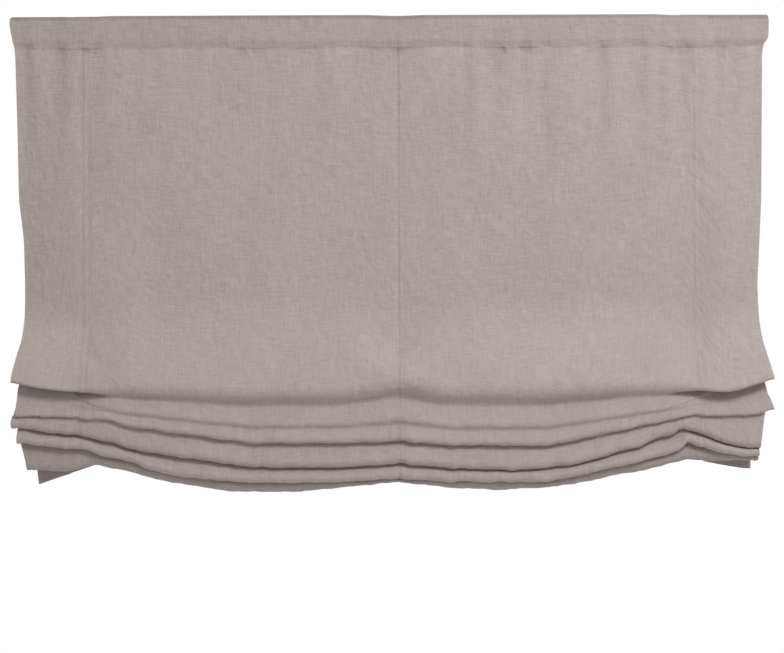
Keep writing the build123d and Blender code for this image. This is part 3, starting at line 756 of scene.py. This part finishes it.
# %% Front and back of the cloth
SIDE_HEM, FOOT_HEM, HEM_EDGE = 15.0, 30.0, 1.5
HEM_THICKER = 0.5
RECEDES_LEFT, RECEDES_RIGHT = 10, 5
step = np.linalg.norm(np.diff(middle_path, axis=0), axis=2)
run_length = np.concatenate([np.zeros((1, COLUMNS)), np.cumsum(step, 0)])
cloth_length = float(run_length[-1].mean())
down_cloth = run_length / run_length[-1] * cloth_length
side_hem = ramp(np.abs(x_grid), HALF_WIDTH - SIDE_HEM, HALF_WIDTH - SIDE_HEM + HEM_EDGE)
foot_hem = ramp(down_cloth, cloth_length - FOOT_HEM, cloth_length - FOOT_HEM + HEM_EDGE)
in_hem = np.maximum(side_hem, foot_hem)
front_path = cloth_path(-CLOTH_HALF)[0]
back_path = cloth_path(CLOTH_HALF)[0]
outward = front_path - back_path
outward /= np.linalg.norm(outward, axis=2, keepdims=True)
ease = height[..., None] * outward
beside = RECEDES_LEFT * ramp(x_grid, -590, -715) ** 1.3
beside = beside + RECEDES_RIGHT * ramp(x_grid, 612, 717) ** 1.5
low_down = np.interp(-z_grid, (30, 190, 560, 640), (0, 1, 1, 0))
low_down = low_down * (row_place < FOLD_ROLLERS[0])[:, None]
turn_back = np.stack([beside * low_down, 0 * x_grid], -1)
front_yz = front_path + ease + turn_back
back_yz = back_path + ease - outward * in_hem[..., None] * HEM_THICKER + turn_back
front = np.concatenate([cloth_x[..., None], front_yz], 2)
back = np.concatenate([cloth_x[..., None], back_yz], 2)
print("flat cloth", round(2 * HALF_WIDTH), "by", round(cloth_length), "mm")

# %% [markdown]
# ## Linen
# Linen is a plain weave of uneven flax threads. Thick places in a thread, its slubs, show as short
# streaks both along and across. The finish is built the same way: streaks in two directions, the
# small bumps where threads cross, cloudy mottling from washing, and the soft crumple of the cloth.
# It is a little darker along the seams, partly from soil and partly as painted shade of their
# creases, and painted shade darkens the top edge and body of the heading, the folds and the foot.

# %% Linen finish
THREADS_PER_M = 620
SEAM_SOIL_AND_SHADE = (0.07, 0.15, 0.05)
TOP_EDGE_DOWN, HEADING_ENDS = 0.0215, (0.068, 0.074)
FOLDS_DOWN, FOOT_DOWN = (0.66, 0.86), (1.40, 1.44)


def linen_finish(name, colour, inside):
    """Linen, with the colour of its lining on the inside."""
    cloth = Finish(name, Roughness=0.92, Specular_IOR_Level=0.2, Sheen_Weight=0.06, Sheen_Roughness=0.6)
    place = cloth.flat_place()
    x, down, lining = cloth.split(place)
    weft = cloth.noise(place, (30, 330, 1), 4.0, 0.66)
    warp = cloth.noise(place, (330, 24, 1), 4.0, 0.66)
    fleck = cloth.noise(place, (90, 420, 7), 1.0).within(0.66, 0.78)
    cloudy = cloth.noise(place, (9, 7, 3), 3.0, 0.55)
    patchy = cloth.noise(place, (70, 55, 5), 3.0, 0.6)
    crumple = cloth.noise(place, (55, 42, 9), 5.0, 0.62)
    wander = cloth.noise(place, (4, 22, 2), 2.0, 0.5)
    # Painted shade: a dark band where the cloth turns over the rail's top edge, and the whole heading a
    # little darker.
    painted_heading_shade = (1 - abs(down - TOP_EDGE_DOWN).within(0.001, 0.0075)) * 0.26
    painted_heading_shade = painted_heading_shade + (1 - down.within(*HEADING_ENDS)) * 0.05
    # Along each tape's seam the cloth is darker: partly soil in the seam, partly painted shade of its
    # crease.
    seam = 0.0
    for tape, depth in zip(TAPES, SEAM_SOIL_AND_SHADE):
        off = abs(x - (tape - 2) * MM + (wander - 0.5) * 0.006)
        seam = seam + (1 - off.within(0.0004, 0.0022)) * depth * (0.35 + patchy)
    threads = FULL_TURN * THREADS_PER_M
    crossing = (x * threads).sine() * (down * threads).sine()
    shade = 0.42 + weft * 0.50 + warp * 0.42 + cloudy * 0.16 + patchy * 0.16
    # Painted shade within the folds, and more at the foot of the blind.
    painted_fold_shade = down.within(*FOLDS_DOWN) * 0.07 + down.within(*FOOT_DOWN) * 0.12
    shade = (shade + fleck * 0.10) * (1 - seam) * (1 - painted_heading_shade) * (1 - painted_fold_shade)
    base = cloth.mix(lining, colour, inside)
    thread_height = weft * 0.5 + warp * 0.5 + crossing * 0.12
    soft = cloth.bump(crumple, 0.0050, 0.7)
    normal = cloth.bump(thread_height, 0.0006, 0.6, under=soft)
    dyed = cloth.tint(base, shade)
    return cloth.wear(Base_Color=dyed, Roughness=0.84 + weft * 0.12, Normal=normal)


LINEN_COLOUR, LINING_COLOUR = (0.402, 0.347, 0.330), (0.66, 0.63, 0.57)
linen = linen_finish("washed_linen", LINEN_COLOUR, LINING_COLOUR)
print("linen finish:", len(linen.node_tree.nodes), "nodes")

# %% The cloth
cloth = make_piece(
    "linen_cloth", sheet_loop(front, back), sheet_faces(ROWS, COLUMNS), linen, "blind", 60
)
seen_lining = (1 - in_hem) * (row_place > 2.5)[:, None]
flat_front = np.stack([x_grid * MM, down_cloth * MM, 0 * x_grid], -1)
flat_back = np.stack([x_grid * MM, down_cloth * MM, seen_lining], -1)
keep_flat_place(cloth, sheet_loop(flat_front, flat_back))
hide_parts("blind_cloth")
print("cloth box", [tuple(round(v, 3) for v in c[:]) for c in cloth.bound_box][::6])

# %% [markdown]
# ## Tapes behind the cloth
# A ring tape is a narrow woven band sewn down the back of the cloth, into every fold. It is the same
# path again, a little further towards the wall. The heading holds on the rail by two more tapes, one
# with loops and one with hooks.

# %% Woven tape finish
def tape_finish(name, colour, rib):
    """White woven tape: fine ribs both ways, a rib apart in metres, with fibre and a little dirt."""
    tape = Finish(name, Roughness=0.85, Specular_IOR_Level=0.25)
    place = tape.object_place()
    x, _, z = tape.split(place)
    ribs = (z * (FULL_TURN / rib)).sine() * (x * (FULL_TURN / rib)).sine()
    dirt = tape.noise(place, (60, 60, 60), 3.0)
    fibre = tape.noise(place, (900, 900, 900), 2.0)
    shade = 0.90 + ribs * 0.04 + dirt * 0.08 + fibre * 0.06
    return tape.wear(
        Base_Color=tape.tint(colour, shade), Normal=tape.bump(ribs * 0.5 + fibre, 0.0002, 0.6)
    )


sewn_tape = tape_finish("woven_ring_tape", (0.72, 0.71, 0.67), 0.0012)
touch_tape = tape_finish("touch_tape", (0.74, 0.74, 0.72), 0.0008)
print("tape finishes ready")

# %% Ring tapes
TAPE_HALF = 7.5
TAPE_NEAR, TAPE_FAR = 0.92, 1.4
UNDER_HEADING = 2.9
FIRST_TAPE_ROW = int(np.argmax(row_place > UNDER_HEADING))
tape_across = np.linspace(-TAPE_HALF, TAPE_HALF, 9)


def strip_on_cloth(x_places, shift):
    """A band of the path, shift mm towards the wall, under the given places across the cloth."""
    path = cloth_path(shift)[0] + ease
    column = np.interp(x_places, column_x, np.arange(COLUMNS))
    low = np.floor(column).astype(int)
    part = (column - low)[None, :, None]
    band = path[:, low] * (1 - part) + path[:, low + 1] * part
    across = np.broadcast_to(x_places, band.shape[:2])[..., None]
    return np.concatenate([across, band], 2)[FIRST_TAPE_ROW:]


for name, tape in TAPE_PLACES.items():
    near = strip_on_cloth(tape + tape_across, TAPE_NEAR)
    far = strip_on_cloth(tape + tape_across, TAPE_FAR)
    faces = sheet_faces(len(near), len(tape_across))
    band = make_piece(
        f"sewn_ring_tape_{name}", sheet_loop(near, far), faces, sewn_tape, "blind"
    )
    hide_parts(f"ring_tape_{name}")

# %% Hook tape on the rail and loop tape in the heading
TOUCH_LONG, TOUCH_TALL, TOUCH_THICK, TOUCH_TOP = 1396.0, 22.0, 1.2, 20.5
pile_x = np.linspace(-TOUCH_LONG / 2, TOUCH_LONG / 2, 500)
pile_z = np.linspace(TOUCH_TOP, TOUCH_TOP - TOUCH_TALL, 12)
for name, back_y, slack in (("hook", -38.0, 0.0), ("loop", -39.5, 0.12)):
    wave = slack * np.sin(pile_x / 31)[None] * np.sin(pile_z / 9)[:, None]
    tuft = 0.18 * np.sin(pile_x * 1.9)[None] ** 2 * np.sin(pile_z * 1.6)[:, None] ** 2
    x = np.broadcast_to(pile_x, wave.shape)
    z = np.broadcast_to(pile_z[:, None], wave.shape)
    face = np.stack([x, back_y - TOUCH_THICK + 0.2 - tuft + 0 * wave, z], -1)
    rear = np.stack([x, back_y - 0.02 + 0 * wave, z], -1)
    faces = sheet_faces(*wave.shape)
    band = make_piece(
        f"{name}_band", sheet_loop(face, rear), faces, touch_tape, "blind"
    )
    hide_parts(f"{name}_tape")

# %% [markdown]
# ## Stitches
# Each stitch is a short bead of thread that dips into the cloth at both ends. One bead is fourteen
# points, and all of them are placed at once: a middle, a direction along the seam and a direction
# out of the cloth are enough.

# %% Places on the cloth
def on_cloth(grid, row, column):
    """The grid's value at part rows and columns, mixed from the four points round each."""
    row = np.clip(row, 0, ROWS - 1.001)
    column = np.clip(column, 0, COLUMNS - 1.001)
    i, j = np.floor(row).astype(int), np.floor(column).astype(int)
    a, b = (row - i)[:, None], (column - j)[:, None]
    upper = grid[i, j] * (1 - b) + grid[i, j + 1] * b
    lower = grid[i + 1, j] * (1 - b) + grid[i + 1, j + 1] * b
    return upper * (1 - a) + lower * a


outward_3d = np.concatenate([np.zeros((ROWS, COLUMNS, 1)), outward], 2)


def seam_down(x, start, end, pitch):
    """Middles, directions and outward ways of stitches down the cloth, start to end mm along it."""
    column = float(np.interp(x, column_x, np.arange(COLUMNS)))
    lengths = down_cloth[:, int(round(column))]
    along = np.arange(start, end, pitch)
    rows = np.interp(along, lengths, np.arange(ROWS))
    columns = np.full(len(rows), column)
    ahead = on_cloth(front, np.interp(along + 1, lengths, np.arange(ROWS)), columns)
    here = on_cloth(front, rows, columns)
    return here, ahead - here, on_cloth(outward_3d, rows, columns)


def seam_across(row, start, end, pitch):
    """The same for a seam across the cloth, at one row."""
    x = np.arange(start, end, pitch)
    columns = np.interp(x, column_x, np.arange(COLUMNS))
    rows = np.full(len(x), float(row))
    ahead = on_cloth(front, rows, columns + 0.2)
    here = on_cloth(front, rows, columns)
    return here, ahead - here, on_cloth(outward_3d, rows, columns)


print("seam helpers ready")

# %% Beads of thread
AROUND = ((1, 0), (0, 1), (-1, 0), (0, -1))
RINGS_OF_BEAD = ((-0.3, 0.8), (0.0, 1.0), (0.3, 0.8))
waist = [(along, w * size, h * size) for along, size in RINGS_OF_BEAD for w, h in AROUND]
BEAD = np.array([(-0.5, 0, -0.5), *waist, (0.5, 0, -0.5)])
BEAD_FACES = [(0, 1 + (k + 1) % 4, 1 + k) for k in range(4)]
BEAD_FACES += [
    (1 + 4 * r + k, 1 + 4 * r + (k + 1) % 4, 5 + 4 * r + (k + 1) % 4, 5 + 4 * r + k)
    for r in range(2)
    for k in range(4)
]
BEAD_FACES += [(9 + k, 9 + (k + 1) % 4, 13) for k in range(4)]


def thread_beads(seams, length, thickness):
    """Points and faces of a bead at every stitch: middle + long way + side way + way out."""
    middle, along, out = (np.concatenate([s[k] for s in seams]) for k in range(3))
    along = along / np.linalg.norm(along, axis=1, keepdims=True)
    out = out / np.linalg.norm(out, axis=1, keepdims=True)
    side = np.cross(out, along)
    parts = BEAD * (length, thickness, thickness)
    points = middle[:, None] + sum(
        parts[None, :, k, None] * way[:, None] for k, way in enumerate((along, side, out))
    )
    count, size = len(middle), len(BEAD)
    faces = [tuple(size * n + v for v in face) for n in range(count) for face in BEAD_FACES]
    return points.reshape(-1, 3), faces


thread = Finish("linen_thread", Roughness=0.8, Specular_IOR_Level=0.3)
twist = thread.noise(thread.object_place(), (900, 900, 900), 2.0)
thread_material = thread.wear(
    Base_Color=thread.tint((0.36, 0.31, 0.295), 0.85 + twist * 0.3),
    Normal=thread.bump(twist, 0.0002, 0.5),
)
print("bead of", len(BEAD), "points")

# %% Sew the seams
HEADING_PITCH, TAPE_PITCH, HEM_PITCH = 3.6, 3.9, 9
BEAD_LONG, BEAD_THICK = 2.6, 0.26
SHORT_OF_EDGE, HEM_STITCH_IN = 4, 1.5
under_rail = float(np.interp(2.0, row_place, np.arange(ROWS)))
heading_row = under_rail - 2
tape_start = float(run_length[FIRST_TAPE_ROW].mean())
seam_end = HALF_WIDTH - SHORT_OF_EDGE
seams = [seam_across(heading_row, -seam_end, seam_end, HEADING_PITCH)]
foot_end = cloth_length - SHORT_OF_EDGE
for tape in TAPES:
    for side in (-STITCH_OUT, STITCH_OUT):
        seams.append(seam_down(tape + side, tape_start, foot_end, TAPE_PITCH))
hem_x = HALF_WIDTH - SIDE_HEM + HEM_STITCH_IN
for x in (-hem_x, hem_x):
    seams.append(seam_down(x, 30, foot_end, HEM_PITCH))
points, faces = thread_beads(seams, BEAD_LONG, BEAD_THICK)
make_piece("seam_stitches", points, faces, thread_material, "blind", 80)
print("stitches:", len(points) // len(BEAD))

# %% [markdown]
# ## Finishes of the gear
# The gear is made of few things: powder-coated aluminium, white moulded plastic, clear plastic, and
# two kinds of steel. Each finish keeps a plain colour and adds what its making leaves: speckle from
# the powder, draw lines from the extrusion, flow marks, spangle from the zinc.

# %% Coated, moulded and metal finishes
def coated_finish(name, colour):
    """Powder coat on an extrusion: orange-peel speckle, and faint lines along the rail."""
    coat = Finish(name, Roughness=0.45, Specular_IOR_Level=0.5)
    place = coat.object_place()
    peel = coat.noise(place, (700, 700, 700), 2.0)
    lines = coat.noise(place, (4, 900, 900), 2.0)
    dust = coat.noise(place, (25, 25, 25), 4.0)
    return coat.wear(
        Base_Color=coat.tint(colour, 0.95 + dust * 0.06 + lines * 0.03),
        Roughness=0.38 + dust * 0.16,
        Normal=coat.bump(peel * 0.7 + lines * 0.4, 0.0001, 0.5),
    )


def moulded_finish(name, colour, gloss=0.4, **plain):
    """Moulded plastic: a fine spark-eroded grain, and cloudy colour and gloss."""
    plastic = Finish(name, Specular_IOR_Level=0.5, **plain)
    place = plastic.object_place()
    grain = plastic.noise(place, (1500, 1500, 1500), 2.0)
    cloud = plastic.noise(place, (70, 70, 70), 3.0)
    return plastic.wear(
        Base_Color=plastic.tint(colour, 0.96 + cloud * 0.07),
        Roughness=gloss + cloud * 0.15,
        Normal=plastic.bump(grain, 0.00006, 0.5),
    )


def metal_finish(name, colour, spots, gloss):
    """Bare metal: spangle or brush marks that change its tone and gloss."""
    metal = Finish(name, Metallic=1.0)
    place = metal.object_place()
    spangle = metal.noise(place, spots, 3.0)
    fine = metal.noise(place, tuple(s * 6 for s in spots), 2.0)
    return metal.wear(
        Base_Color=metal.tint(colour, 0.82 + spangle * 0.3),
        Roughness=gloss + spangle * 0.2,
        Normal=metal.bump(fine, 0.00005, 0.4),
    )


white_rail = coated_finish("white_powder_coat", (0.78, 0.78, 0.76))
white_plastic = moulded_finish("white_moulded_plastic", (0.76, 0.76, 0.74))
clear_plastic = moulded_finish("clear_moulded_plastic", (0.86, 0.87, 0.87), 0.15, Transmission_Weight=0.6)
cleat_plastic = moulded_finish("cleat_plastic", (0.80, 0.79, 0.75), 0.3)
zinc = metal_finish("zinc_plated_steel", (0.62, 0.63, 0.64), (160, 160, 160), 0.3)
bright = metal_finish("bright_drawn_steel", (0.60, 0.60, 0.61), (12, 500, 500), 0.2)
print("gear finishes ready")

# %% Finishes on the nodes that stay
NODE_FINISHES = (
    (white_rail, ("headrail",)),
    (white_plastic, (
        "end_cap", "drive_housing", "drive_cover", "chain_wheel", "cord_drums", "drum_cradles",
        "bracket_lever_left", "bracket_lever_middle", "bracket_lever_right",
    )),
    (zinc, ("bracket_plate_left", "bracket_plate_middle", "bracket_plate_right", "bracket_rivets")),
    (bright, ("drive_shaft",)),
)
for material, names in NODE_FINISHES:
    for name in names:
        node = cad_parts[name]
        node.data.materials.clear()
        node.data.materials.append(material)
print("nodes with their own finish:", sum(len(names) for _, names in NODE_FINISHES))

# %% [markdown]
# ## Rings, cords and cleats
# A lift cord runs from its drum down through eight clear rings to a small cleat. The CAD holds each
# as a coarse solid in the right place, and a smooth one takes its place here: a ring is a circle
# carried round a circle, and a cord is a tube whose section has three turning lobes.

# %% Rings and the thread that holds them
CORD_Y = -31.0
RING_R, RING_TUBE = 5.0, 0.98
LOOP_R, LOOP_TUBE = 1.35, 0.2


def torus(radius, tube, steps, sides):
    """A circle carried round a circle: two ways in the ring's plane, then the way square to it."""
    turn, side = circle(steps)[:, None], circle(sides)[None]
    out = radius + tube * np.cos(side)
    square = np.broadcast_to(tube * np.sin(side), (steps, sides))
    return np.stack([out * np.cos(turn), out * np.sin(turn), square], -1)


RING = torus(RING_R, RING_TUBE, 28, 10)
LOOP = torus(LOOP_R, LOOP_TUBE, 16, 5)[..., [2, 0, 1]]
ring_mesh_faces = grid_faces(*RING.shape[:2], True, True)[:, ::-1]
loop_mesh_faces = grid_faces(*LOOP.shape[:2], True, True)
FLAT_RINGS = (-541.0, -341.0, -141.0)
LOOPS, LOOP_BEHIND = (-1.1, 0.0, 1.1), 0.45


def repeat(shape, faces, places):
    """A copy of a shape at each place, as one set of points and faces."""
    points = shape.reshape(1, -1, 3) + np.array(places)[:, None]
    size = shape.reshape(-1, 3).shape[0]
    shifted = faces[None] + (np.arange(len(places)) * size)[:, None, None]
    return points.reshape(-1, 3), shifted.reshape(-1, faces.shape[1]).tolist()


for name, tape in TAPE_PLACES.items():
    low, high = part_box(f"rings_{name}")
    column = int(np.argmin(np.abs(column_x - tape)))
    heights = list(FLAT_RINGS) + [float(tuck[column]) - TUCK_R for tuck in tuck_tops]
    points, faces = repeat(RING, ring_mesh_faces, [(tape, CORD_Y, z) for z in heights])
    rings = make_piece(f"clear_rings_{name}", points, faces, clear_plastic, "blind")
    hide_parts(f"rings_{name}")
    places = [(tape + side, CORD_Y - RING_R - LOOP_BEHIND, z) for z in heights for side in LOOPS]
    points, faces = repeat(LOOP, loop_mesh_faces, places)
    make_piece(f"ring_thread_{name}", points, faces, thread_material, "blind")
    print(name, "rings from", round(high.z, 3), "to", round(low.z, 3))

# %% Lift cords
CORD_R, CORD_SIDES, CORD_STEP, LAY = 0.68, 12, 1.5, 7.0
cord = Finish("white_cord", Roughness=0.75, Specular_IOR_Level=0.3)
braid = cord.noise(cord.object_place(), (1400, 1400, 500), 2.0)
soil = cord.noise(cord.object_place(), (90, 90, 12), 3.0)
cord_material = cord.wear(
    Base_Color=cord.tint((0.78, 0.77, 0.73), 0.84 + braid * 0.2 + soil * 0.1),
    Normal=cord.bump(braid, 0.0001, 0.5),
)
for name, tape in TAPE_PLACES.items():
    low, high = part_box(f"lift_cord_{name}")
    z = np.arange(low.z / MM, high.z / MM, CORD_STEP)
    line = np.stack([0 * z + tape, 0 * z + CORD_Y, z], -1)
    lay_turn = FULL_TURN * z[:, None] / LAY
    lobes = CORD_R * (0.93 + 0.07 * np.cos(3 * (circle(CORD_SIDES)[None] - lay_turn)))
    points = tube_points(line, lobes, CORD_SIDES)
    piece = make_piece(
        f"twisted_cord_{name}", points, tube_faces(len(z), CORD_SIDES), cord_material, "blind"
    )
    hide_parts(f"lift_cord_{name}")
    print(name, "lift cord is", round(high.z - low.z, 4), "m long")

# %% Cord wound on the drums, and the brake spring
SHAFT_Y, SHAFT_Z = -23.0, 2.0


def coil(middle_x, length, radius, wire, turns, sides, per_turn=22):
    """A wire wound close along X: y and z go round the shaft while x moves one wire a turn."""
    turn = np.linspace(0, FULL_TURN * turns, per_turn * turns + 1)
    x = middle_x - length / 2 + wire + (length - 2 * wire) * turn / turn[-1]
    line = np.stack([x, SHAFT_Y + radius * np.cos(turn), SHAFT_Z + radius * np.sin(turn)], -1)
    return tube_points(line, wire, sides), tube_faces(len(turn), sides)


wound, wound_faces = [], []
for tape in TAPES:
    points, faces = coil(tape, length=21.0, radius=8.05, wire=0.69, turns=14, sides=8)
    start = sum(len(w) for w in wound)
    wound.append(points.reshape(-1, 3))
    wound_faces += [[v + start for v in face] for face in faces]
windings = make_piece(
    "wound_cord", np.concatenate(wound), wound_faces, cord_material, "shaft"
)
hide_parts("cord_windings")
SPRING_WIRE, SPRING_TURNS, SPRING_SPARE = 0.44, 10, 0.45
low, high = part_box("brake_spring")
spring_middle, spring_length = (low.x + high.x) / 2 / MM, (high.x - low.x) / MM
spring_radius = (high.z - low.z) / 2 / MM - SPRING_SPARE
points, faces = coil(spring_middle, spring_length, spring_radius, SPRING_WIRE, SPRING_TURNS, 8, 28)
spring = make_piece("wound_brake_spring", points, faces, bright, "blind")
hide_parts("brake_spring")

# %% [markdown]
# A cleat is a small moulded block with a waist. Its outline at each height is a rounded rectangle,
# whose size follows a profile down the block, and a few turns of cord lie in the waist.

# %% Cleats
CLEAT_SIDES, CLEAT_INSET, SQUARENESS = 36, 0.02, 0.45
WRAPS, WRAP_R, WRAP_SHARE, WRAP_RISE, WRAP_SQUARENESS = 4, 0.5, 0.80, 1.5, 0.7


def rounded_square(angle, power):
    """A circle pushed out towards a square: cos and sin to a power below 1, with their signs."""
    way = np.stack([np.cos(angle), np.sin(angle)], -1)
    return np.sign(way) * np.abs(way) ** power


cleat_outline = rounded_square(circle(CLEAT_SIDES), SQUARENESS)
wrap_turn = np.linspace(0, FULL_TURN * WRAPS, CLEAT_SIDES * WRAPS + 1)
wrap_outline = rounded_square(wrap_turn, WRAP_SQUARENESS) * WRAP_SHARE
CLEAT_PROFILE = np.array([
    (0.0, 0.05), (0.0, 0.80), (0.03, 0.93), (0.08, 1.0), (0.22, 1.0), (0.30, 0.97), (0.36, 0.70),
    (0.42, 0.62), (0.58, 0.62), (0.64, 0.70), (0.70, 0.97), (0.78, 1.0), (0.90, 1.0), (0.96, 0.9),
    (1.0, 0.74), (1.0, 0.05),
])
for name, tape in TAPE_PLACES.items():
    low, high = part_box(f"cord_adjuster_{name}")
    half = np.array([(high.x - low.x) / 2, (high.y - low.y) / 2]) / MM - CLEAT_INSET
    z = (high.z - (high.z - low.z) * CLEAT_PROFILE[:, 0]) / MM
    outline = cleat_outline[None] * CLEAT_PROFILE[:, 1, None, None] * half + (tape, CORD_Y)
    points = np.concatenate([outline, np.broadcast_to(z[:, None, None], (*outline.shape[:2], 1))], 2)
    faces = [face[::-1] for face in tube_faces(*outline.shape[:2])]
    cleat = make_piece(f"cleat_{name}", points, faces, cleat_plastic, "blind", 35)
    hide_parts(f"cord_adjuster_{name}")
    ring = wrap_outline * half + (tape, CORD_Y)
    wrap_z = (high.z + low.z) / 2 / MM + np.linspace(WRAP_RISE, -WRAP_RISE, len(wrap_turn))
    points = tube_points(np.concatenate([ring, wrap_z[:, None]], 1), WRAP_R, 8, (0.0, 0.0, 1.0))
    make_piece(
        f"cleat_cord_{name}", points, tube_faces(len(points), 8), cord_material, "blind"
    )
